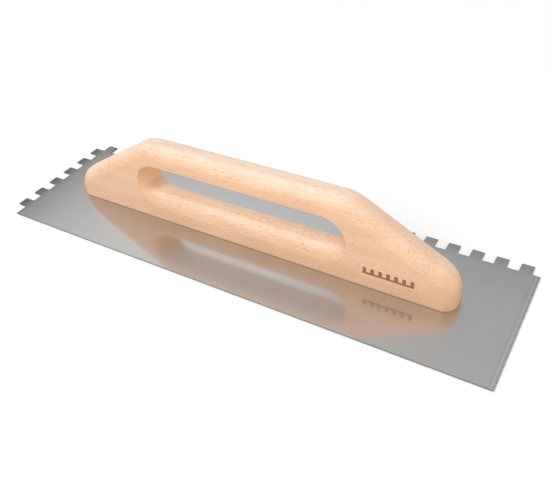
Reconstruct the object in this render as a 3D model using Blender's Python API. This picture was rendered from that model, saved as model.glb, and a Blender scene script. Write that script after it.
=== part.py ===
"""Notched trowel: a thin toothed steel blade under a closed wooden handle.

Metres, +Z up. The sole of the blade lies on Z = 0. X runs along the blade,
Y across it from the plain front edge to the toothed back edge, and the origin
is the middle of the blade's outer box. The handle stands on the blade, and
countersunk wood screws come up through the blade into its lower rail.
"""
import math

import bmesh
import bpy

# ---- blade ----
BLADE_LENGTH = 0.4672      # X, over the tips of the end teeth
BLADE_WIDTH = 0.1324       # Y, over the tips of the back teeth
BLADE_THICKNESS = 0.0008
PITCH = 0.020              # tooth to tooth
TOOTH_WIDTH = 0.0102
TOOTH_LENGTH = 0.010
BACK_TEETH = 23
BACK_FIRST = 0.0005        # first back tooth, from the root line of the end teeth
END_TEETH = 6
END_FIRST = 0.0122         # first end tooth, from the front edge

# ---- handle ----
LEFT_END = -0.1882
RIGHT_END = 0.1877
HANDLE_HALF_THICKNESS = 0.0132
HANDLE_TOP = 0.0761
LEFT_KNEE = 0.0210         # height where the upright end meets the slope, before rounding
RIGHT_KNEE = 0.0276        # the right end is cut a little fuller than the left
LEFT_SHOULDER = -0.0957    # X where the slope meets the top, before rounding
RIGHT_SHOULDER = 0.0998
KNEE_RADIUS = 0.027
SHOULDER_RADIUS = 0.034
EDGE_RADIUS = 0.0092       # round-over along the outer profile
EDGE_CREASE = math.radians(14.0)   # angle left where a round-over meets a flat
SLOT_CENTRE_X = -0.00055
SLOT_CENTRE_Z = 0.0363
SLOT_HALF_LENGTH = 0.1035  # hand slot, measured on the faces of the board
SLOT_HALF_HEIGHT = 0.0221
SLOT_SKEW = 0.208          # the slot leans along X on its way from front to back
SLOT_EDGE_DEPTH = 0.0080   # eased edge of the slot, measured through the thickness
RAIL_REACH = 0.0124        # the same edge measured across the face, on the lower rail
END_REACH = 0.0012         # and at the ends and the top of the slot, nearly crisp
KNEE_STEPS = 9
SHOULDER_STEPS = 8
SLOT_STEPS = 14
ROUND_STEPS = 5

# ---- fixings ----
SCREW_COUNT = 6
SCREW_SPACING = 0.066
SINK_RADIUS = 0.0044       # countersink at the sole
SINK_DEPTH = 0.0022        # height of the pressed dimple's rim
HEAD_HEIGHT = 0.0003       # face of the screw head above the sole
SHANK_RADIUS = 0.00175
CORE_RADIUS = 0.00120
SHANK_TOP = 0.0070         # plain shank ends and thread begins
THREAD_TOP = 0.0160
SCREW_TIP = 0.0190
THREAD_PITCH = 0.0018
ROWS_PER_TURN = 3
SCREW_SIDES = 10
RECESS_REACH = 0.0019      # arm length of the cross recess
RECESS_WIDTH = 0.0008
RECESS_DEPTH = 0.0013

GAP = 0.0003               # between touching pieces
ROUND_SIDES = 24
OVERSHOOT = 0.001          # how far a cutter runs past what it cuts
SLOPE_WALL = BLADE_THICKNESS * math.sqrt(2.0)   # sheet thickness seen level on a 45 degree cone
SLOPE_GAP = GAP * math.sqrt(2.0)

STEEL = (0.36, 0.36, 0.35, 1.0)
BEECH = (0.78, 0.56, 0.37, 1.0)
ZINC = (0.60, 0.60, 0.58, 1.0)


def clear_scene():
    for obj in list(bpy.data.objects):
        bpy.data.objects.remove(obj, do_unlink=True)


def material(name, colour, roughness, metallic):
    mat = bpy.data.materials.new(name)
    mat.use_nodes = True
    shader = mat.node_tree.nodes["Principled BSDF"]
    shader.inputs["Base Color"].default_value = colour
    shader.inputs["Roughness"].default_value = roughness
    shader.inputs["Metallic"].default_value = metallic
    return mat


def object_from_bmesh(bm, name, mat=None):
    bmesh.ops.recalc_face_normals(bm, faces=bm.faces)
    mesh = bpy.data.meshes.new(name)
    bm.to_mesh(mesh)
    bm.free()
    if mat:
        mesh.materials.append(mat)
    obj = bpy.data.objects.new(name, mesh)
    bpy.context.scene.collection.objects.link(obj)
    return obj


def shade_round(obj, angle):
    obj.data.shade_smooth()
    obj.data.set_sharp_from_angle(angle=math.radians(angle))


def hide_cutter(obj):
    obj.hide_render = True
    obj.display_type = "WIRE"


def add_boolean(obj, other, operation):
    mod = obj.modifiers.new(operation.title() + " " + other.name, "BOOLEAN")
    mod.operation = operation
    mod.solver = "EXACT"
    mod.object = other


def add_turned(bm, profile, centre_x, sides):
    """Add a closed turned body about a vertical axis from (radius, z) points."""
    rings = []
    for radius, z in profile:
        ring = []
        for i in range(sides):
            a = 2.0 * math.pi * i / sides
            x = centre_x + radius * math.cos(a)
            ring.append(bm.verts.new((x, radius * math.sin(a), z)))
        rings.append(ring)
    for low, high in zip(rings, rings[1:]):
        for i in range(sides):
            j = (i + 1) % sides
            bm.faces.new((low[i], low[j], high[j], high[i]))
    bm.faces.new(list(reversed(rings[0])))
    bm.faces.new(rings[-1])


def screw_positions():
    half = (SCREW_COUNT - 1) / 2.0
    return [(i - half) * SCREW_SPACING for i in range(SCREW_COUNT)]


# ---- blade ----
def blade_outline():
    """Outline seen from above, anticlockwise, starting at the front left corner."""
    left_tip = -BLADE_LENGTH / 2.0
    left_root = left_tip + TOOTH_LENGTH
    right = BLADE_LENGTH / 2.0
    front = -BLADE_WIDTH / 2.0
    back_tip = BLADE_WIDTH / 2.0
    back_root = back_tip - TOOTH_LENGTH
    points = [(left_root, front), (right, front), (right, back_root)]
    for k in reversed(range(BACK_TEETH)):
        x0 = left_root + BACK_FIRST + k * PITCH
        x1 = x0 + TOOTH_WIDTH
        points += [(x1, back_root), (x1, back_tip), (x0, back_tip), (x0, back_root)]
    for k in reversed(range(END_TEETH)):
        y0 = front + END_FIRST + k * PITCH
        y1 = y0 + TOOTH_WIDTH
        if k < END_TEETH - 1:
            points.append((left_root, y1))
        points += [(left_tip, y1), (left_tip, y0), (left_root, y0)]
    return points


def make_blade(mat):
    bm = bmesh.new()
    floor = [bm.verts.new((x, y, 0.0)) for x, y in blade_outline()]
    face = bm.faces.new(floor)
    grown = bmesh.ops.extrude_face_region(bm, geom=[face])
    moved = [v for v in grown["geom"] if isinstance(v, bmesh.types.BMVert)]
    bmesh.ops.translate(bm, vec=(0.0, 0.0, BLADE_THICKNESS), verts=moved)
    blade = object_from_bmesh(bm, "blade", mat)

    bm = bmesh.new()
    start = BLADE_THICKNESS / 2.0
    for x in screw_positions():
        wide = SINK_RADIUS + SLOPE_WALL
        add_turned(bm, [(wide - start, start), (wide - SINK_DEPTH, SINK_DEPTH)], x, ROUND_SIDES)
    dimples = object_from_bmesh(bm, "cut_dimples")
    hide_cutter(dimples)

    bm = bmesh.new()
    for x in screw_positions():
        low = (SINK_RADIUS + OVERSHOOT, -OVERSHOOT)
        top = SINK_DEPTH + OVERSHOOT
        high = (SINK_RADIUS - top, top)
        add_turned(bm, [low, high], x, ROUND_SIDES)
    sinks = object_from_bmesh(bm, "cut_sinks")
    hide_cutter(sinks)

    add_boolean(blade, dimples, "UNION")
    add_boolean(blade, sinks, "DIFFERENCE")
    return blade


# ---- handle ----
def corner_arc(corner, before, after, radius, steps):
    """Points and outward normals of a rounded convex corner in the XZ plane."""
    ux, uz = before[0] - corner[0], before[1] - corner[1]
    wx, wz = after[0] - corner[0], after[1] - corner[1]
    ul, wl = math.hypot(ux, uz), math.hypot(wx, wz)
    ux, uz, wx, wz = ux / ul, uz / ul, wx / wl, wz / wl
    half = math.acos(ux * wx + uz * wz) / 2.0
    bx, bz = ux + wx, uz + wz
    bl = math.hypot(bx, bz)
    reach = radius / math.sin(half)
    cx, cz = corner[0] + bx / bl * reach, corner[1] + bz / bl * reach
    run = radius / math.tan(half)
    first = math.atan2(corner[1] + uz * run - cz, corner[0] + ux * run - cx)
    last = math.atan2(corner[1] + wz * run - cz, corner[0] + wx * run - cx)
    sweep = (last - first + math.pi) % (2.0 * math.pi) - math.pi
    arc = []
    for i in range(steps + 1):
        a = first + sweep * i / steps
        nx, nz = math.cos(a), math.sin(a)
        arc.append((cx + radius * nx, cz + radius * nz, nx, nz))
    return arc


def handle_profile(base):
    """Outer profile from the left foot over the top to the right foot."""
    knee_l = (LEFT_END, LEFT_KNEE)
    knee_r = (RIGHT_END, RIGHT_KNEE)
    shoulder_l = (LEFT_SHOULDER, HANDLE_TOP)
    shoulder_r = (RIGHT_SHOULDER, HANDLE_TOP)
    below_l = (LEFT_END, base - KNEE_RADIUS)
    below_r = (RIGHT_END, base - KNEE_RADIUS)
    profile = [(LEFT_END, base, -1.0, 0.0)]
    profile += corner_arc(knee_l, below_l, shoulder_l, KNEE_RADIUS, KNEE_STEPS)
    profile += corner_arc(shoulder_l, knee_l, shoulder_r, SHOULDER_RADIUS, SHOULDER_STEPS)
    profile += corner_arc(shoulder_r, shoulder_l, knee_r, SHOULDER_RADIUS, SHOULDER_STEPS)
    profile += corner_arc(knee_r, shoulder_r, below_r, KNEE_RADIUS, KNEE_STEPS)
    profile.append((RIGHT_END, base, 1.0, 0.0))
    return profile


def slot_profile():
    """Stadium outline of the hand slot on a face, with normals that point into the slot."""
    points = []
    straight = SLOT_HALF_LENGTH - SLOT_HALF_HEIGHT
    for side in (1.0, -1.0):
        for i in range(SLOT_STEPS + 1):
            a = math.pi * i / SLOT_STEPS - math.pi / 2.0
            nx, nz = side * math.cos(a), side * math.sin(a)
            x = SLOT_CENTRE_X + side * straight + SLOT_HALF_HEIGHT * nx
            points.append((x, SLOT_CENTRE_Z + SLOT_HALF_HEIGHT * nz, -nx, -nz))
    return points


def eased_levels(depth):
    """(Y, share) from front to back; share is 1 on the faces and 0 between the eased edges.

    Each edge is an arc that stops the crease angle short of both flats.
    """
    lean = math.cos(EDGE_CREASE) - math.sin(EDGE_CREASE)
    centre = math.cos(EDGE_CREASE) / lean
    quarter = []
    for i in range(ROUND_STEPS + 1):
        a = EDGE_CREASE + (math.pi / 2.0 - 2.0 * EDGE_CREASE) * i / ROUND_STEPS
        y = -HANDLE_HALF_THICKNESS + depth * (centre - math.cos(a) / lean)
        quarter.append((y, centre - math.sin(a) / lean))
    return quarter + [(-y, share) for y, share in reversed(quarter)]


def outer_rows(base):
    """Points over the outer edge, one row per level through the thickness."""
    rows = []
    for y, share in eased_levels(EDGE_RADIUS):
        inset = EDGE_RADIUS * share
        row = []
        for x, z, nx, nz in handle_profile(base):
            row.append((x - nx * inset, y, max(z - nz * inset, base)))
        rows.append(row)
    return rows


def slot_rows():
    """Points round the hand slot; the easing grows from its ends to the lower rail."""
    rows = []
    for y, share in eased_levels(SLOT_EDGE_DEPTH):
        row = []
        for x, z, nx, nz in slot_profile():
            up = max(nz, 0.0)
            blend = up * up * (3.0 - 2.0 * up)
            step = (END_REACH + (RAIL_REACH - END_REACH) * blend) * (1.0 - share)
            row.append((x + nx * step + SLOT_SKEW * y, y, z + nz * step))
        rows.append(row)
    return rows


def add_wall(bm, rows, closed):
    """Join rows of points with quads; return the rows of vertices."""
    grid = [[bm.verts.new(point) for point in row] for row in rows]
    count = len(grid[0])
    for low, high in zip(grid, grid[1:]):
        for i in range(count if closed else count - 1):
            j = (i + 1) % count
            bm.faces.new((low[i], low[j], high[j], high[i]))
    return grid


def edges_round(bm, loop):
    found = []
    for a, b in zip(loop, loop[1:] + loop[:1]):
        edge = bm.edges.get((a, b))
        found.append(edge if edge else bm.edges.new((a, b)))
    return found


def make_handle(mat):
    base = BLADE_THICKNESS + GAP
    bm = bmesh.new()
    outer = add_wall(bm, outer_rows(base), False)
    inner = add_wall(bm, slot_rows(), True)
    for side in (0, -1):
        rim = edges_round(bm, outer[side]) + edges_round(bm, inner[side])
        bmesh.ops.triangle_fill(bm, use_beauty=True, use_dissolve=False, edges=rim)
    left = [row[0] for row in outer]
    right = [row[-1] for row in outer]
    bm.faces.new(left + list(reversed(right)))
    bmesh.ops.remove_doubles(bm, verts=bm.verts, dist=1e-6)
    handle = object_from_bmesh(bm, "handle", mat)
    shade_round(handle, 30.0)

    bm = bmesh.new()
    wide = SINK_RADIUS + SLOPE_WALL + SLOPE_GAP
    low = base - OVERSHOOT
    seat = SINK_DEPTH + GAP
    bore = SHANK_RADIUS + GAP
    for x in screw_positions():
        profile = [(wide - low, low), (wide - seat, seat), (bore, seat)]
        profile += [(bore, THREAD_TOP + GAP), (GAP, SCREW_TIP + GAP)]
        add_turned(bm, profile, x, ROUND_SIDES)
    bores = object_from_bmesh(bm, "cut_bores")
    hide_cutter(bores)
    add_boolean(handle, bores, "DIFFERENCE")
    return handle


# ---- screws ----
def thread_radius(z, angle):
    """Radius of the turned-up thread, a triangular wave that climbs with angle."""
    phase = (z / THREAD_PITCH - angle / (2.0 * math.pi)) % 1.0
    wave = 1.0 - abs(2.0 * phase - 1.0)
    return CORE_RADIUS + (SHANK_RADIUS - CORE_RADIUS) * wave


def screw_mesh(mat):
    head = SINK_RADIUS - SLOPE_GAP
    neck = head - SHANK_RADIUS
    rows = [(HEAD_HEIGHT, False, head - HEAD_HEIGHT), (neck, False, SHANK_RADIUS),
            (SHANK_TOP, False, SHANK_RADIUS)]
    step = THREAD_PITCH / ROWS_PER_TURN
    count = int(round((THREAD_TOP - SHANK_TOP) / step))
    rows += [(SHANK_TOP + step * i, True, 0.0) for i in range(1, count + 1)]

    bm = bmesh.new()
    rings = []
    for z, threaded, radius in rows:
        ring = []
        for i in range(SCREW_SIDES):
            a = 2.0 * math.pi * i / SCREW_SIDES
            r = thread_radius(z, a) if threaded else radius
            ring.append(bm.verts.new((r * math.cos(a), r * math.sin(a), z)))
        rings.append(ring)
    for low, high in zip(rings, rings[1:]):
        for i in range(SCREW_SIDES):
            j = (i + 1) % SCREW_SIDES
            bm.faces.new((low[i], low[j], high[j], high[i]))
    bm.faces.new(list(reversed(rings[0])))
    tip = bm.verts.new((0.0, 0.0, SCREW_TIP))
    for i in range(SCREW_SIDES):
        bm.faces.new((rings[-1][i], rings[-1][(i + 1) % SCREW_SIDES], tip))
    bmesh.ops.recalc_face_normals(bm, faces=bm.faces)
    mesh = bpy.data.meshes.new("screw")
    bm.to_mesh(mesh)
    bm.free()
    mesh.materials.append(mat)
    mesh.shade_smooth()
    mesh.set_sharp_from_angle(angle=math.radians(40.0))
    return mesh


def make_recess_cutter():
    """A plus-shaped prism that cuts the driver recess of every screw."""
    a, b = RECESS_WIDTH / 2.0, RECESS_REACH
    plus = [(a, a), (a, b), (-a, b), (-a, a), (-b, a), (-b, -a),
            (-a, -a), (-a, -b), (a, -b), (a, -a), (b, -a), (b, a)]
    bm = bmesh.new()
    for x in screw_positions():
        low = [bm.verts.new((x + px, py, HEAD_HEIGHT - OVERSHOOT)) for px, py in plus]
        high = [bm.verts.new((x + px, py, HEAD_HEIGHT + RECESS_DEPTH)) for px, py in plus]
        count = len(plus)
        for i in range(count):
            j = (i + 1) % count
            bm.faces.new((low[i], low[j], high[j], high[i]))
        bm.faces.new(low)
        bm.faces.new(high)
    cutter = object_from_bmesh(bm, "cut_recess")
    hide_cutter(cutter)
    return cutter


def make_screws(mat):
    mesh = screw_mesh(mat)
    recess = make_recess_cutter()
    for i, x in enumerate(screw_positions()):
        screw = bpy.data.objects.new("screw_%d" % (i + 1), mesh)
        screw.location = (x, 0.0, 0.0)
        bpy.context.scene.collection.objects.link(screw)
        add_boolean(screw, recess, "DIFFERENCE")


def main():
    clear_scene()
    make_blade(material("blade_steel", STEEL, 0.34, 1.0))
    make_handle(material("handle_wood", BEECH, 0.42, 0.0))
    make_screws(material("screw_steel", ZINC, 0.38, 1.0))


main()
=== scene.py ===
"""Looks for the notched trowel: beech handle, satin steel blade, studio floor and light."""
import math

import bmesh
import bpy
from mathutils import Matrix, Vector


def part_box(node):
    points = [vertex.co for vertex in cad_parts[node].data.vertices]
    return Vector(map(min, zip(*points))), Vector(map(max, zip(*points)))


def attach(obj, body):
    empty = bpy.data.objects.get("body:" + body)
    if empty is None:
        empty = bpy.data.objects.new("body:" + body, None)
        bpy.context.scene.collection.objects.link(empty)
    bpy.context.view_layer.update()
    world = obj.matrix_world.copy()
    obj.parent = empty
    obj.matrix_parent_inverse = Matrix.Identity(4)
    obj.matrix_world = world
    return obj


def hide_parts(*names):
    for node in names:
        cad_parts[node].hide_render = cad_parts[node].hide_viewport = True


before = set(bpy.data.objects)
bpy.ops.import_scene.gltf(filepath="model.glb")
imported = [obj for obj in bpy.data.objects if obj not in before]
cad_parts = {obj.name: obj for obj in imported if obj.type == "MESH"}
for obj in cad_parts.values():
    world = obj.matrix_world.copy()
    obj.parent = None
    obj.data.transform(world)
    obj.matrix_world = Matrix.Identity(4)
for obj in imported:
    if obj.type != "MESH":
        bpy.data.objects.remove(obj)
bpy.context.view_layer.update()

# ---- places taken from the frame, in metres ----
BLADE_LOW, BLADE_HIGH = [Vector(corner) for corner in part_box("blade")]
HANDLE_LOW, HANDLE_HIGH = [Vector(corner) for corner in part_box("handle")]

# ---- blade, in metres ----
SHEET = 0.0008             # blade thickness
PITCH = 0.020              # from one tooth to the next
TOOTH_WIDTH = 0.0102
TOOTH_LENGTH = 0.010
BACK_TEETH = 23
BACK_FIRST = 0.0005        # from the root line of the left end to the first back tooth
END_TEETH = 6
END_FIRST = 0.0122         # from the front edge to the first tooth of the left end
TIP_RADIUS = 0.00035       # punched outer corners
ROOT_RADIUS = 0.00060      # punched inner corners
CORNER_SHARE = 0.4         # most of a neighbouring edge that a corner radius may take
CORNER_STEPS = 3
BLADE_CHAMFER = 0.00016    # broken edge of the sheet
BLADE_SHARP = 25.0         # degrees; steeper edges are shaded sharp

# ---- pressed dimples for the screws, in metres ----
SCREW_COUNT = 6
SCREW_SPACING = 0.066
SINK_RADIUS = 0.0044
SINK_DEPTH = 0.0022
SINK_CROWN = SINK_RADIUS + SHEET * math.sqrt(2.0)   # outer cone, carried on down to the sole
SINK_SIDES = 48

# ---- handle, in metres ----
LEFT_KNEE = 0.0210         # height of the corner between an upright end and its slope
RIGHT_KNEE = 0.0276
LEFT_SHOULDER = -0.0957    # X of the corner between a slope and the flat top
RIGHT_SHOULDER = 0.0998
KNEE_RADIUS = 0.027
SHOULDER_RADIUS = 0.034
EDGE_RADIUS = 0.0092
EDGE_CREASE = math.radians(14.0)   # angle left where a round-over meets a flat
FOOT_Z = 0.00085           # foot of the handle, just clear of the sheet
FAR_BELOW = -1.0           # height of a point that gives the direction straight down
HANDLE_SHARP = 40.0        # degrees

KNEE_STEPS = 24
SHOULDER_STEPS = 18
UPRIGHT_STEPS = 3
SLOPE_STEPS = 28
TOP_STEPS = 60
EDGE_STEPS = 14

# ---- hand slot, in metres ----
SLOT_CENTRE_X = -0.00055
SLOT_CENTRE_Z = 0.0363
SLOT_HALF_LENGTH = 0.1035
SLOT_HALF_HEIGHT = 0.0221
SLOT_SKEW = 0.208          # the slot leans along X on its way from front to back
SLOT_EDGE_DEPTH = 0.0080   # how far the eased edge runs into the slot
RAIL_REACH = 0.0124        # how far it spreads on the faces, above the lower rail
END_REACH = 0.0012         # and elsewhere round the slot
SLOT_ARC_STEPS = 40
SLOT_SIDE_STEPS = 60

# ---- burnt row of teeth on the front face, in metres ----
MARK_LEFT = 0.1140
MARK_RIGHT = 0.1562
MARK_FOOT = 0.0148
MARK_BAR = 0.0168          # top of the bar that joins the teeth
MARK_TOP = 0.0212
MARK_PITCH = 0.0065
MARK_TOOTH = (0.04, 0.50)  # where a tooth starts and ends, as shares of the pitch
MARK_RAGGED = 0.0007       # wander of the burnt edge
MARK_SOFT = 0.00015        # half the width of its soft rim
MARK_BAR_SOFT = 0.00012
MARK_TOOTH_SOFT = 0.02     # as a share of the pitch

# ---- zones of the beech: (start, end) of a smooth change, places in metres ----
SLOPES_X = (0.100, 0.112)          # the sloped ends, by distance from the middle
GRIP_Z = (0.054, 0.060)            # the grip, by height
RAIL_X = (0.084, 0.102)            # the lower rail, up to the ends of the slot, where light is painted on its top
RAIL_Z = (0.036, 0.046)
TOP_HIGHLIGHT_X = (0.085, 0.115)          # the painted highlight on up-facing wood is less pale towards the right end
BENEATH_Z = (0.048, 0.056)         # the underside of the grip, where bounce light is painted
SLOT_END_X = (0.1065, 0.1120)      # the end walls of the slot, whose end grain is painted brighter and more orange as bounce light in the slot
FOOT_SHADE_Z = (0.0011, 0.0024)    # painted shade: the darker line along the foot, where the handle meets the blade
END_FACING = (0.55, 0.97)          # end grain, by the X part of the normal
LEVEL_FACING = (0.30, 1.05)        # level wood, by the Z part
BENEATH_FACING = (-0.85, -0.25)    # wood that faces down, for the painted bounce light
FLAT_FACING = (0.93, 1.0)          # the flat front and back, by the Y part
FRONT_FACING = (-0.95, -0.85)      # the front alone

# ---- how strongly each trait of the beech shows, from 0 to 1 ----
# share of the lower rail in the painted highlight
RAIL_LIGHT_SHARE = 0.70
# painted highlight on up-facing wood, standing in for the light from above
TOP_HIGHLIGHT_SHARE = 0.85
TOP_HIGHLIGHT_RIGHT = 0.45        # what is left of the painted highlight at the right end
LATE_SHARE = 0.20
STREAK_SHARE = 0.30
FIBRE_SHARE = 0.20
FLECK_SHARE = 0.72
FLECK_FADE = 0.25          # taken off it where the wood faces up, under the painted highlight
FLECK_FLAT = 0.62          # what is left of it on the flat front and back
FINE_FLECKS = 0.7          # strength of the small flecks beside the large ones
FEWEST_FLECKS = 0.35       # strength of all flecks between the dense patches
END_SHARE = 0.50
FOOT_SHADE_SHARE = 0.60
THIN_CHAR = 0.85           # what is left of the burnt mark on the strongest fibres

# ---- growth rings: cylinders about an axis along X, in front of the board and below it ----
RING_AXIS_Y = -0.030
RING_AXIS_Z = -0.110
RING_WARP = 0.012
RINGS_PER_METRE = 330.0
LATE_WOOD = (0.45, 1.0)            # dark part of a ring, as shares of its width

# ---- colours ----
BEECH_PALE = (0.790, 0.515, 0.345, 1.0)
BEECH_WARM = (0.722, 0.440, 0.270, 1.0)
# painted highlight: up-facing wood made paler, standing in for the light from above
BEECH_TOP_HIGHLIGHT = (0.900, 0.738, 0.612, 1.0)
# painted bounce light: the grip's underside made paler
BEECH_UNDERSIDE_BOUNCE = (0.930, 0.840, 0.780, 1.0)
# painted light on the lower rail's top, where the grip's shadow falls
BEECH_RAIL_TOP_LIGHT = (0.985, 0.715, 0.525, 1.0)
BEECH_LATE = (0.70, 0.40, 0.22, 1.0)
BEECH_STREAK = (0.80, 0.45, 0.25, 1.0)
BEECH_FIBRE = (0.68, 0.39, 0.22, 1.0)
BEECH_FLECK = (0.590, 0.270, 0.110, 1.0)
BEECH_END = (0.830, 0.460, 0.235, 1.0)
# painted bounce light: end grain in the slot made brighter and more orange than at the outer ends
BEECH_SLOT_END_BOUNCE = (0.960, 0.560, 0.290, 1.0)
# painted shade along the foot of the handle
BEECH_FOOT_SHADE = (0.300, 0.160, 0.085, 1.0)
SCORCHED = (0.250, 0.075, 0.022, 1.0)
STEEL_DARK = (0.385, 0.380, 0.371, 1.0)
STEEL_LIGHT = (0.415, 0.410, 0.399, 1.0)
STEEL_STREAK = (0.52, 0.52, 0.51, 1.0)
# painted dark reflection along the toothed edges
STEEL_DARK_REFLECTION = (0.10, 0.105, 0.11, 1.0)
STEEL_BAND = (0.20, 0.20, 0.20, 1.0)
# painted highlight line near the right end
STEEL_HIGHLIGHT_LINE = (0.72, 0.72, 0.71, 1.0)
# the sheet's edge faces, painted near-black
STEEL_EDGE_FACES_DARK = (0.050, 0.050, 0.052, 1.0)
ZINC_DARK = (0.56, 0.56, 0.55, 1.0)
ZINC_LIGHT = (0.66, 0.66, 0.63, 1.0)
FLOOR_DARK = (0.95, 0.95, 0.95, 1.0)
FLOOR_LIGHT = (0.97, 0.97, 0.97, 1.0)
WHITE = (1.0, 1.0, 1.0, 1.0)

# ---- zones of the steel, in metres ----
TOOTH_ZONE = 0.018         # depth of the painted dark reflection along the toothed edges
BAND_WIDTH = 0.0050        # slightly darker band along the right end
LINE_OUTER = 0.0021        # thin painted highlight within it, measured from the right end
LINE_INNER = 0.0027
BAND_SOFT = 0.0008
LINE_SOFT = 0.00015
EDGE_FACING = (0.75, 0.95) # edge faces of the sheet, painted much darker, by the Z part of the normal

# ---- how strongly each trait of the steel shows, from 0 to 1 ----
LEFT_DARK_REFLECTION = 0.78
BACK_DARK_REFLECTION = 0.42
STEEL_STREAKS = 0.14
BAND_SHARE = 0.16
HIGHLIGHT_LINE_SHARE = 0.42
EDGE_FACES_DARK_SHARE = 0.85
LEFT_DULLED = 0.55         # share of the painted dark reflection at the left by which the coat is weaker there

# ---- studio: brightness of its parts, then where they are ----
CEILING = 0.87
CEILING_PANEL = 0.19       # added right of the black card
CEILING_RIGHT = 0.48       # taken away towards the right
CEILING_BACK = 0.12        # taken away towards the back
CEILING_CORNER = 0.30      # taken away in the back left corner
WALLS = 0.86
CARD = 0.98                # share of the light that the black card holds back
NEAR = 0.34                # added in front, to the right
ABOVE = 0.50               # added overhead

# a place on the ceiling is given by its direction: across is X over Z, along is Y over Z
LOWEST_Z = 0.05            # keeps both finite near the horizon
PANEL_ACROSS = (-1.28, -1.02)
RIGHT_ACROSS = (-0.66, -0.28)
BACK_ALONG = (1.00, 1.20)
CORNER_ALONG = (1.08, 1.25)
CORNER_ACROSS = (-0.50, -0.25)
CARD_START = (-2.80, -2.40)
CARD_END = (-1.45, -1.25)
CARD_ALONG = (0.50, 2.00)
CARD_SOFT = 0.20
WALLS_Z = (0.22, 0.38)     # the walls pass into the ceiling here, by the Z part of the direction
NEAR_X = 0.6               # direction of that brighter part
NEAR_Y = -0.8
NEAR_FACING = (-0.15, 0.55)
ABOVE_Z = (0.75, 0.95)

FLOOR_REACH = 6.0
FLOOR_Z = -0.0006

# ---- camera ----
CAMERA_PLACE = (0.27114, -0.35400, 0.35789)
CAMERA_TURN = (50.053, 4.034, 30.331)   # degrees about X, Y and Z


# ---- mesh helpers ----
def piece_from_bmesh(bm, name, mat, sharp=30.0, creased=()):
    """Object with smooth shading, sharp at creased edges and at those steeper than sharp degrees."""
    bmesh.ops.recalc_face_normals(bm, faces=bm.faces)
    bm.normal_update()
    for face in bm.faces:
        face.smooth = True
    for edge in bm.edges:
        edge.smooth = edge.calc_face_angle(0.0) <= math.radians(sharp)
    for edge in creased:
        edge.smooth = False
    mesh = bpy.data.meshes.new(name)
    bm.to_mesh(mesh)
    bm.free()
    mesh.materials.append(mat)
    obj = bpy.data.objects.new(name, mesh)
    bpy.context.scene.collection.objects.link(obj)
    return obj


def loop_edges(bm, loop):
    """Edges of a closed loop of vertices, made where they are missing."""
    found = []
    for a, b in zip(loop, loop[1:] + loop[:1]):
        edge = bm.edges.get((a, b))
        found.append(edge if edge else bm.edges.new((a, b)))
    return found


def bridge(bm, low, high, closed=True):
    """Strip of faces between two rows of vertices."""
    count = len(low)
    for i in range(count if closed else count - 1):
        j = (i + 1) % count
        bm.faces.new((low[i], low[j], high[j], high[i]))


def add_wall(bm, rows, closed):
    """Wall through rows of points; returns its vertices, row by row."""
    grid = [[bm.verts.new(point) for point in row] for row in rows]
    for low, high in zip(grid, grid[1:]):
        bridge(bm, low, high, closed)
    return grid


def corner_arc(corner, before, after, radius, steps):
    """(u, v, nu, nv) along a rounded corner; the normal points away from the arc's centre."""
    u = (Vector(before) - Vector(corner)).normalized()
    w = (Vector(after) - Vector(corner)).normalized()
    half = u.angle(w) / 2.0
    centre = Vector(corner) + (u + w).normalized() * (radius / math.sin(half))
    start = Vector(corner) + u * (radius / math.tan(half)) - centre
    end = Vector(corner) + w * (radius / math.tan(half)) - centre
    first = math.atan2(start.y, start.x)
    last = math.atan2(end.y, end.x)
    sweep = (last - first + math.pi) % (2.0 * math.pi) - math.pi
    arc = []
    for i in range(steps + 1):
        a = first + sweep * i / steps
        n = Vector((math.cos(a), math.sin(a)))
        p = centre + n * radius
        arc.append((p.x, p.y, n.x, n.y))
    return arc


def straight(a, b, steps):
    """Points strictly between two (x, z, nx, nz) points of one straight run."""
    run = []
    for i in range(1, steps):
        t = i / steps
        run.append((a[0] + (b[0] - a[0]) * t, a[1] + (b[1] - a[1]) * t, b[2], b[3]))
    return run


def smooth_step(t):
    return t * t * (3.0 - 2.0 * t)


# ---- handle ----
def handle_profile():
    """(x, z, nx, nz) from the left foot over the top to the right foot, normals outward."""
    left = HANDLE_LOW.x
    right = HANDLE_HIGH.x
    top = HANDLE_HIGH.z
    knee_l = (left, LEFT_KNEE)
    knee_r = (right, RIGHT_KNEE)
    shoulder_l = (LEFT_SHOULDER, top)
    shoulder_r = (RIGHT_SHOULDER, top)
    below_l = (left, FAR_BELOW)
    below_r = (right, FAR_BELOW)
    arcs = [corner_arc(knee_l, below_l, shoulder_l, KNEE_RADIUS, KNEE_STEPS),
            corner_arc(shoulder_l, knee_l, shoulder_r, SHOULDER_RADIUS, SHOULDER_STEPS),
            corner_arc(shoulder_r, shoulder_l, knee_r, SHOULDER_RADIUS, SHOULDER_STEPS),
            corner_arc(knee_r, shoulder_r, below_r, KNEE_RADIUS, KNEE_STEPS)]
    foot_l = (left, FOOT_Z, -1.0, 0.0)
    foot_r = (right, FOOT_Z, 1.0, 0.0)
    profile = [foot_l]
    last = foot_l
    for arc, steps in zip(arcs, (UPRIGHT_STEPS, SLOPE_STEPS, TOP_STEPS, SLOPE_STEPS)):
        profile += straight(last, arc[0], steps)
        profile += arc
        last = arc[-1]
    profile += straight(last, foot_r, UPRIGHT_STEPS)
    profile.append(foot_r)
    return profile


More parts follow.
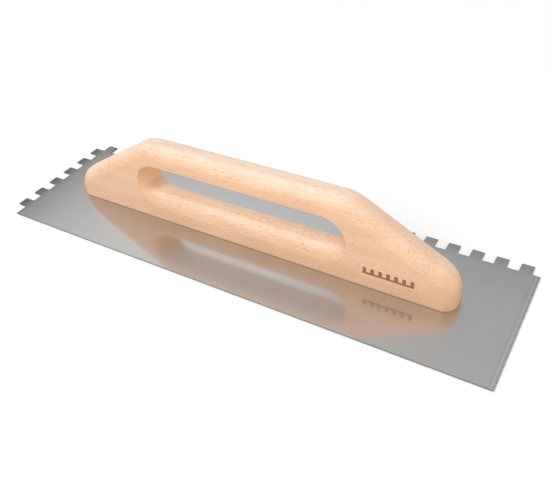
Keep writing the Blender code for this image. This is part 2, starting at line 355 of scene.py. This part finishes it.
def slot_profile():
    """(x, z, nx, nz) once round the hand slot, normals towards its middle."""
    points = []
    reach = SLOT_HALF_LENGTH - SLOT_HALF_HEIGHT
    for side in (1.0, -1.0):
        arc = []
        for i in range(SLOT_ARC_STEPS + 1):
            a = math.pi * i / SLOT_ARC_STEPS - math.pi / 2.0
            nx = side * math.cos(a)
            nz = side * math.sin(a)
            x = SLOT_CENTRE_X + side * reach + SLOT_HALF_HEIGHT * nx
            arc.append((x, SLOT_CENTRE_Z + SLOT_HALF_HEIGHT * nz, -nx, -nz))
        points += arc
        end = arc[-1]
        points += straight(end, (2.0 * SLOT_CENTRE_X - end[0], end[1], end[2], end[3]), SLOT_SIDE_STEPS)
    return points


def eased_levels(depth):
    """(Y, share) across the board; share is 1 on the faces and 0 between the eased edges."""
    lean = math.cos(EDGE_CREASE) - math.sin(EDGE_CREASE)
    centre = math.cos(EDGE_CREASE) / lean
    quarter = []
    for i in range(EDGE_STEPS + 1):
        a = EDGE_CREASE + (math.pi / 2.0 - 2.0 * EDGE_CREASE) * i / EDGE_STEPS
        y = HANDLE_LOW.y + depth * (centre - math.cos(a) / lean)
        quarter.append((y, centre - math.sin(a) / lean))
    return quarter + [(-y, share) for y, share in reversed(quarter)]


def outer_rows():
    profile = handle_profile()
    rows = []
    for y, share in eased_levels(EDGE_RADIUS):
        inset = EDGE_RADIUS * share
        rows.append([(x - nx * inset, y, max(z - nz * inset, FOOT_Z)) for x, z, nx, nz in profile])
    return rows


def slot_rows():
    """The slot's wall; its edge spreads widely above the lower rail and little elsewhere."""
    profile = slot_profile()
    rows = []
    for y, share in eased_levels(SLOT_EDGE_DEPTH):
        row = []
        for x, z, nx, nz in profile:
            reach = END_REACH + (RAIL_REACH - END_REACH) * smooth_step(max(nz, 0.0))
            step = reach * (1.0 - share)
            row.append((x + nx * step + SLOT_SKEW * y, y, z + nz * step))
        rows.append(row)
    return rows


def make_handle(mat):
    bm = bmesh.new()
    outer = add_wall(bm, outer_rows(), False)
    inner = add_wall(bm, slot_rows(), True)
    rims = []
    for side in (0, -1):
        rim = loop_edges(bm, outer[side]) + loop_edges(bm, inner[side])
        bmesh.ops.triangle_fill(bm, use_beauty=True, use_dissolve=False, edges=rim)
        rims += rim
    bm.faces.new([row[0] for row in outer] + [row[-1] for row in reversed(outer)])
    obj = piece_from_bmesh(bm, "handle_beech", mat, HANDLE_SHARP, rims)
    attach(obj, "root")
    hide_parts("handle")


# ---- blade ----
def blade_corners():
    """Corners of the sheet, counter-clockwise from the front left."""
    left_tip = BLADE_LOW.x
    left_root = left_tip + TOOTH_LENGTH
    right = BLADE_HIGH.x
    front = BLADE_LOW.y
    back_tip = BLADE_HIGH.y
    back_root = back_tip - TOOTH_LENGTH
    points = [(left_root, front), (right, front), (right, back_root)]
    for k in reversed(range(BACK_TEETH)):
        x0 = left_root + BACK_FIRST + k * PITCH
        x1 = x0 + TOOTH_WIDTH
        points += [(x1, back_root), (x1, back_tip), (x0, back_tip), (x0, back_root)]
    for k in reversed(range(END_TEETH)):
        y0 = front + END_FIRST + k * PITCH
        y1 = y0 + TOOTH_WIDTH
        if k < END_TEETH - 1:
            points.append((left_root, y1))
        points += [(left_tip, y1), (left_tip, y0), (left_root, y0)]
    return points


def rounded_outline():
    """(x, y, inward x, inward y) all the way round, with every corner slightly rounded."""
    corners = [Vector(c) for c in blade_corners()]
    outline = []
    for before, p, after in zip(corners[-1:] + corners, corners, corners[1:] + corners[:1]):
        u = before - p
        w = after - p
        convex = w.x * u.y - w.y * u.x > 0.0
        shortest = min(u.length, w.length)
        radius = min(TIP_RADIUS if convex else ROOT_RADIUS, shortest * CORNER_SHARE)
        side = -1.0 if convex else 1.0
        for x, y, nx, ny in corner_arc(p, before, after, radius, CORNER_STEPS):
            outline.append((x, y, side * nx, side * ny))
    return outline


def circle(bm, x, radius, z):
    ring = []
    for i in range(SINK_SIDES):
        a = 2.0 * math.pi * i / SINK_SIDES
        ring.append(bm.verts.new((x + radius * math.cos(a), radius * math.sin(a), z)))
    return ring


def add_dimple(bm, x):
    """Pressed countersink at x; returns its lowest and highest ring of vertices."""
    rings = [circle(bm, x, SINK_RADIUS, 0.0),
             circle(bm, x, SINK_RADIUS - SINK_DEPTH, SINK_DEPTH),
             circle(bm, x, SINK_CROWN - SINK_DEPTH, SINK_DEPTH),
             circle(bm, x, SINK_CROWN - SHEET, SHEET)]
    for low, high in zip(rings, rings[1:]):
        bridge(bm, low, high)
    return rings[0], rings[-1]


def make_blade(mat):
    bm = bmesh.new()
    outline = rounded_outline()
    levels = ((0.0, BLADE_CHAMFER), (BLADE_CHAMFER, 0.0),
              (SHEET - BLADE_CHAMFER, 0.0), (SHEET, BLADE_CHAMFER))
    rows = [[(x + nx * inset, y + ny * inset, z) for x, y, nx, ny in outline]
            for z, inset in levels]
    edge = add_wall(bm, rows, True)
    under = loop_edges(bm, edge[0])
    upper = loop_edges(bm, edge[-1])
    half = (SCREW_COUNT - 1) / 2.0
    for k in range(SCREW_COUNT):
        mouth, crown = add_dimple(bm, (k - half) * SCREW_SPACING)
        under += loop_edges(bm, mouth)
        upper += loop_edges(bm, crown)
    for rim in (under, upper):
        bmesh.ops.triangle_fill(bm, use_beauty=True, use_dissolve=False, edges=rim)
    obj = piece_from_bmesh(bm, "blade_sheet", mat, BLADE_SHARP)
    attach(obj, "root")
    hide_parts("blade")


# ---- shader helpers ----
class Graph:
    """Adds and wires the nodes of a material."""

    def __init__(self, name):
        self.mat = bpy.data.materials.new(name)
        self.mat.use_nodes = True
        self.tree = self.mat.node_tree
        self.shader = self.tree.nodes["Principled BSDF"]
        self.coords = self.tree.nodes.new("ShaderNodeTexCoord").outputs["Object"]

    def link(self, value, socket):
        if isinstance(value, bpy.types.NodeSocket):
            self.tree.links.new(value, socket)
        else:
            socket.default_value = value

    def set(self, name, value):
        self.link(value, self.shader.inputs[name])

    def math(self, op, a, b=0.0):
        node = self.tree.nodes.new("ShaderNodeMath")
        node.operation = op
        self.link(a, node.inputs[0])
        self.link(b, node.inputs[1])
        return node.outputs[0]

    def product(self, first, *others):
        for other in others:
            first = self.math("MULTIPLY", first, other)
        return first

    def absolute(self, value):
        return self.math("ABSOLUTE", value)

    def noise(self, along, across, detail, rough=0.5):
        """Noise with so many cells per metre along X and across it."""
        spread = self.tree.nodes.new("ShaderNodeMapping")
        spread.inputs["Scale"].default_value = (along, across, across)
        self.link(self.coords, spread.inputs["Vector"])
        node = self.tree.nodes.new("ShaderNodeTexNoise")
        self.link(spread.outputs[0], node.inputs["Vector"])
        node.inputs["Scale"].default_value = 1.0
        node.inputs["Detail"].default_value = detail
        node.inputs["Roughness"].default_value = rough
        return node.outputs["Fac"]

    def ramp(self, value, span, low=0.0, high=1.0):
        """Smooth change from low to high while value crosses the span."""
        node = self.tree.nodes.new("ShaderNodeMapRange")
        node.interpolation_type = "SMOOTHSTEP"
        self.link(value, node.inputs["Value"])
        node.inputs["From Min"].default_value = span[0]
        node.inputs["From Max"].default_value = span[1]
        node.inputs["To Min"].default_value = low
        node.inputs["To Max"].default_value = high
        return node.outputs["Result"]

    def inside(self, value, span, soft):
        """1 inside the span and 0 outside, with a soft edge."""
        return self.product(self.ramp(value, (span[0] - soft, span[0] + soft)),
                            self.ramp(value, (span[1] - soft, span[1] + soft), 1.0, 0.0))

    def mix(self, factor, a, b):
        node = self.tree.nodes.new("ShaderNodeMix")
        node.data_type = "RGBA"
        self.link(factor, node.inputs["Factor"])
        self.link(a, node.inputs["A"])
        self.link(b, node.inputs["B"])
        return node.outputs["Result"]

    def split(self, vector):
        node = self.tree.nodes.new("ShaderNodeSeparateXYZ")
        self.link(vector, node.inputs[0])
        return node.outputs

    def normal(self):
        geometry = self.tree.nodes.new("ShaderNodeNewGeometry")
        return geometry.outputs["Normal"]

    def bump(self, height, strength, distance, previous=None):
        node = self.tree.nodes.new("ShaderNodeBump")
        self.link(height, node.inputs["Height"])
        node.inputs["Strength"].default_value = strength
        node.inputs["Distance"].default_value = distance
        if previous:
            self.link(previous, node.inputs["Normal"])
        return node.outputs["Normal"]


class WorldGraph(Graph):
    """The same helper for the world."""

    def __init__(self, name):
        world = bpy.data.worlds.new(name)
        bpy.context.scene.world = world
        world.use_nodes = True
        self.tree = world.node_tree
        self.shader = self.tree.nodes["Background"]
        self.coords = self.tree.nodes.new("ShaderNodeTexCoord").outputs["Generated"]


# ---- beech ----
def burnt_mark(g, axes, face):
    """A plain row of square teeth burnt into the front face, near its right end."""
    wander = g.math("SUBTRACT", g.noise(1400.0, 1400.0, detail=2.0), 0.5)
    ragged = g.product(wander, MARK_RAGGED)
    x = g.math("ADD", axes[0], ragged)
    z = g.math("ADD", axes[2], ragged)
    length = g.inside(x, (MARK_LEFT, MARK_RIGHT), MARK_SOFT)
    bar = g.inside(z, (MARK_FOOT, MARK_BAR), MARK_BAR_SOFT)
    place = g.math("FRACT", g.math("DIVIDE", g.math("SUBTRACT", x, MARK_LEFT), MARK_PITCH))
    comb = g.product(g.inside(place, MARK_TOOTH, MARK_TOOTH_SOFT),
                     g.inside(z, (MARK_FOOT, MARK_TOP), MARK_SOFT))
    mask = g.product(g.math("MAXIMUM", bar, comb), length)
    return g.product(mask, g.ramp(face[1], FRONT_FACING, 1.0, 0.0))


def ring_shade(g, axes):
    """Dark late wood of each growth ring."""
    y = g.math("SUBTRACT", axes[1], RING_AXIS_Y)
    z = g.math("SUBTRACT", axes[2], RING_AXIS_Z)
    radius = g.math("SQRT", g.math("ADD", g.product(y, y), g.product(z, z)))
    warp = g.noise(4.0, 22.0, detail=2.0)
    radius = g.math("ADD", radius, g.product(warp, RING_WARP))
    return g.ramp(g.math("FRACT", g.product(radius, RINGS_PER_METRE)), LATE_WOOD)


def ray_flecks(g):
    """Short ray flecks in two sizes, long along the grain and denser in patches."""
    coarse = g.ramp(g.noise(240.0, 1500.0, detail=1.0, rough=0.4), (0.575, 0.665))
    fine = g.ramp(g.noise(420.0, 2500.0, detail=1.0, rough=0.4), (0.58, 0.68))
    patch = g.noise(30.0, 90.0, detail=2.0)
    flecks = g.math("MAXIMUM", coarse, g.product(fine, FINE_FLECKS))
    return g.product(flecks, g.ramp(patch, (0.36, 0.62), FEWEST_FLECKS, 1.0))


def beech_material():
    g = Graph("beech")
    axes = g.split(g.coords)
    face = g.split(g.normal())
    from_middle = g.absolute(axes[0])

    # zones, each from 0 to 1
    level = g.ramp(g.absolute(face[2]), LEVEL_FACING)
    # the lower rail, which takes painted light on its top
    rail_light = g.ramp(from_middle, RAIL_X, RAIL_LIGHT_SHARE, 0.0)
    outside = g.math("MAXIMUM", g.ramp(axes[2], GRIP_Z), g.ramp(from_middle, SLOPES_X))
    # painted highlight on up-facing wood: the grip, the sloped ends and the lower rail
    top_highlight = g.product(level, g.math("MAXIMUM", outside, rail_light))
    top_highlight = g.product(top_highlight, g.ramp(axes[0], TOP_HIGHLIGHT_X, 1.0, TOP_HIGHLIGHT_RIGHT))
    underside_bounce = g.product(g.ramp(face[2], BENEATH_FACING, 1.0, 0.0), g.ramp(axes[2], BENEATH_Z))
    rail_top_light = g.product(level, rail_light, g.ramp(axes[2], RAIL_Z, 1.0, 0.0))
    slot_end_light = g.ramp(from_middle, SLOT_END_X, 1.0, 0.0)
    end_grain = g.ramp(g.absolute(face[0]), END_FACING)
    flat = g.ramp(g.absolute(face[1]), FLAT_FACING, 1.0, FLECK_FLAT)
    foot_shade = g.ramp(axes[2], FOOT_SHADE_Z, FOOT_SHADE_SHARE, 0.0)

    # figure of the wood
    broad = g.noise(9.0, 60.0, detail=3.0, rough=0.55)
    fibre = g.noise(60.0, 1300.0, detail=3.0, rough=0.6)
    streaks = g.ramp(g.noise(55.0, 420.0, detail=2.0), (0.50, 0.72))
    flecks = ray_flecks(g)
    mark = burnt_mark(g, axes, face)

    colour = g.mix(g.ramp(broad, (0.35, 0.68)), BEECH_PALE, BEECH_WARM)
    # painted highlight on up-facing wood
    colour = g.mix(g.product(top_highlight, TOP_HIGHLIGHT_SHARE), colour, BEECH_TOP_HIGHLIGHT)
    # painted bounce light under the grip
    colour = g.mix(underside_bounce, colour, BEECH_UNDERSIDE_BOUNCE)
    # painted light on the lower rail's top, against the grip's shadow
    colour = g.mix(rail_top_light, colour, BEECH_RAIL_TOP_LIGHT)
    colour = g.mix(g.product(ring_shade(g, axes), LATE_SHARE), colour, BEECH_LATE)
    colour = g.mix(g.product(streaks, STREAK_SHARE), colour, BEECH_STREAK)
    colour = g.mix(g.ramp(fibre, (0.45, 0.75), 0.0, FIBRE_SHARE), colour, BEECH_FIBRE)
    faded = g.math("SUBTRACT", FLECK_SHARE, g.product(top_highlight, FLECK_FADE))
    colour = g.mix(g.product(flecks, faded, flat), colour, BEECH_FLECK)
    # the slot's end walls painted brighter and more orange than the outer end grain, as bounce light in
    # the slot
    end_colour = g.mix(slot_end_light, BEECH_END, BEECH_SLOT_END_BOUNCE)
    colour = g.mix(g.product(end_grain, END_SHARE), colour, end_colour)
    # painted shade along the foot of the handle
    colour = g.mix(foot_shade, colour, BEECH_FOOT_SHADE)
    char = g.product(mark, g.ramp(fibre, (0.2, 0.7), 1.0, THIN_CHAR))
    colour = g.mix(char, colour, SCORCHED)
    g.set("Base Color", colour)

    varnish = g.ramp(fibre, (0.3, 0.8), 0.36, 0.50)
    g.set("Roughness", g.math("ADD", varnish, g.product(flecks, 0.10)))
    g.set("Specular IOR Level", 0.42)
    height = g.math("SUBTRACT", fibre, g.product(flecks, 0.6))
    grain = g.bump(height, strength=0.22, distance=0.0002)
    unburnt = g.math("SUBTRACT", 1.0, mark)
    g.set("Normal", g.bump(unburnt, strength=0.6, distance=0.0003, previous=grain))
    return g.mat


# ---- metals ----
def steel_material():
    """Ground steel: the coat is the sharp part of its reflection, the metal the wide part."""
    g = Graph("satin_steel")
    axes = g.split(g.coords)
    face = g.split(g.normal())
    left_end = BLADE_LOW.x
    right_end = BLADE_HIGH.x
    back = BLADE_HIGH.y
    streak = g.noise(10.0, 900.0, detail=3.0, rough=0.6)
    rolled = g.noise(7.0, 20.0, detail=3.0)
    scuff = g.noise(45.0, 160.0, detail=4.0, rough=0.65)

    # painted dark reflection along the toothed edges
    left_dark_reflection = g.ramp(axes[0], (left_end, left_end + TOOTH_ZONE), LEFT_DARK_REFLECTION, 0.0)
    back_dark_reflection = g.ramp(axes[1], (back - TOOTH_ZONE, back), 0.0, BACK_DARK_REFLECTION)
    band = g.inside(axes[0], (right_end - BAND_WIDTH, right_end + 0.001), BAND_SOFT)
    highlight_line = g.inside(axes[0], (right_end - LINE_INNER, right_end - LINE_OUTER), LINE_SOFT)
    dark_edge_faces = g.ramp(g.absolute(face[2]), EDGE_FACING, 1.0, 0.0)

    colour = g.mix(g.ramp(rolled, (0.3, 0.7)), STEEL_DARK, STEEL_LIGHT)
    colour = g.mix(g.ramp(streak, (0.35, 0.75), 0.0, STEEL_STREAKS), colour, STEEL_STREAK)
    # painted dark reflection along the toothed edges
    colour = g.mix(g.math("MAXIMUM", left_dark_reflection, back_dark_reflection), colour, STEEL_DARK_REFLECTION)
    colour = g.mix(g.product(band, BAND_SHARE), colour, STEEL_BAND)
    # painted highlight line near the right end
    colour = g.mix(g.product(highlight_line, HIGHLIGHT_LINE_SHARE), colour, STEEL_HIGHLIGHT_LINE)
    # the sheet's edge faces painted much darker
    colour = g.mix(g.product(dark_edge_faces, EDGE_FACES_DARK_SHARE), colour, STEEL_EDGE_FACES_DARK)
    g.set("Base Color", colour)
    g.set("Metallic", 1.0)
    ground = g.ramp(streak, (0.3, 0.7), 0.35, 0.39)
    g.set("Roughness", g.math("ADD", ground, g.ramp(scuff, (0.55, 0.75), 0.0, 0.05)))

    # the coat is taken off the darkened edge faces and weakened under the painted dark reflection at
    # the left
    dulled = g.math("MAXIMUM", dark_edge_faces, g.product(left_dark_reflection, LEFT_DULLED))
    g.set("Coat Weight", g.math("SUBTRACT", 1.0, dulled))
    g.set("Coat IOR", 3.2)
    g.set("Coat Roughness", 0.115)
    wave = g.bump(rolled, strength=0.20, distance=0.0004)
    g.set("Normal", g.bump(streak, strength=0.02, distance=0.00006, previous=wave))
    g.set("Coat Normal", wave)
    return g.mat


def screw_material():
    g = Graph("zinc_steel")
    mottle = g.noise(500.0, 500.0, detail=3.0, rough=0.6)
    g.set("Base Color", g.mix(g.ramp(mottle, (0.35, 0.65)), ZINC_DARK, ZINC_LIGHT))
    g.set("Metallic", 1.0)
    g.set("Roughness", g.ramp(mottle, (0.3, 0.7), 0.30, 0.42))
    g.set("Normal", g.bump(mottle, strength=0.15, distance=0.0001))
    return g.mat


# ---- studio ----
def make_floor():
    g = Graph("studio_floor")
    cloud = g.noise(3.0, 3.0, detail=2.0)
    g.set("Base Color", g.mix(cloud, FLOOR_DARK, FLOOR_LIGHT))
    g.set("Roughness", 0.9)
    g.set("Specular IOR Level", 0.1)
    bm = bmesh.new()
    corners = [bm.verts.new((sx * FLOOR_REACH, sy * FLOOR_REACH, FLOOR_Z))
               for sx, sy in ((-1, -1), (1, -1), (1, 1), (-1, 1))]
    bm.faces.new(corners)
    floor = piece_from_bmesh(bm, "studio_floor", g.mat)


def area_light(name, location, target, side, power):
    """Square area light that faces the target."""
    data = bpy.data.lights.new(name, "AREA")
    data.shape = "SQUARE"
    data.size = side
    data.energy = power
    lamp = bpy.data.objects.new(name, data)
    lamp.location = location
    aim = Vector(target) - Vector(location)
    lamp.rotation_euler = aim.to_track_quat("-Z", "Y").to_euler()
    bpy.context.scene.collection.objects.link(lamp)


def make_world():
    """Soft studio: a broad pale ceiling, pale walls, a black card to the left, brightest in front."""
    g = WorldGraph("studio")
    direction = g.split(g.coords)
    height = g.math("MAXIMUM", direction[2], LOWEST_Z)
    across = g.math("DIVIDE", direction[0], height)
    along = g.math("DIVIDE", direction[1], height)

    ceiling = g.ramp(across, PANEL_ACROSS, CEILING, CEILING + CEILING_PANEL)
    ceiling = g.math("SUBTRACT", ceiling, g.ramp(across, RIGHT_ACROSS, 0.0, CEILING_RIGHT))
    ceiling = g.math("SUBTRACT", ceiling, g.ramp(along, BACK_ALONG, 0.0, CEILING_BACK))
    corner = g.product(g.ramp(along, CORNER_ALONG), g.ramp(across, CORNER_ACROSS, 1.0, 0.0))
    ceiling = g.math("SUBTRACT", ceiling, g.product(corner, CEILING_CORNER))

    low = g.ramp(direction[2], WALLS_Z, 1.0, 0.0)
    room = g.math("ADD", ceiling, g.product(low, g.math("SUBTRACT", WALLS, ceiling)))
    card = g.product(g.ramp(across, CARD_END, 1.0, 0.0), g.ramp(across, CARD_START),
                     g.inside(along, CARD_ALONG, CARD_SOFT))
    room = g.product(room, g.math("SUBTRACT", 1.0, g.product(card, CARD)))

    facing = g.math("ADD", g.product(direction[0], NEAR_X), g.product(direction[1], NEAR_Y))
    near = g.ramp(facing, NEAR_FACING, 0.0, NEAR)
    above = g.ramp(direction[2], ABOVE_Z, 0.0, ABOVE)
    g.set("Strength", g.math("ADD", g.math("ADD", room, near), above))
    g.set("Color", WHITE)


def make_camera():
    data = bpy.data.cameras.new("camera")
    data.lens = 42.52
    data.sensor_width = 36.0
    data.shift_x = -0.0147
    data.clip_start = 0.01
    data.clip_end = 50.0
    cam = bpy.data.objects.new("camera", data)
    cam.location = CAMERA_PLACE
    cam.rotation_euler = [math.radians(angle) for angle in CAMERA_TURN]
    bpy.context.scene.collection.objects.link(cam)
    bpy.context.scene.camera = cam


def main():
    make_handle(beech_material())
    make_blade(steel_material())
    zinc = screw_material()
    for i in range(1, SCREW_COUNT + 1):
        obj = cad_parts["screw_%d" % i]
        for slot in obj.material_slots:
            slot.material = zinc
    make_floor()
    make_world()
    area_light("key", location=(-0.30, -1.10, 1.35), target=(0.0, 0.0, 0.0), side=1.3, power=9.2)
    make_camera()
    bpy.context.scene.view_settings.view_transform = "Standard"


main()
bpy.context.view_layer.update()
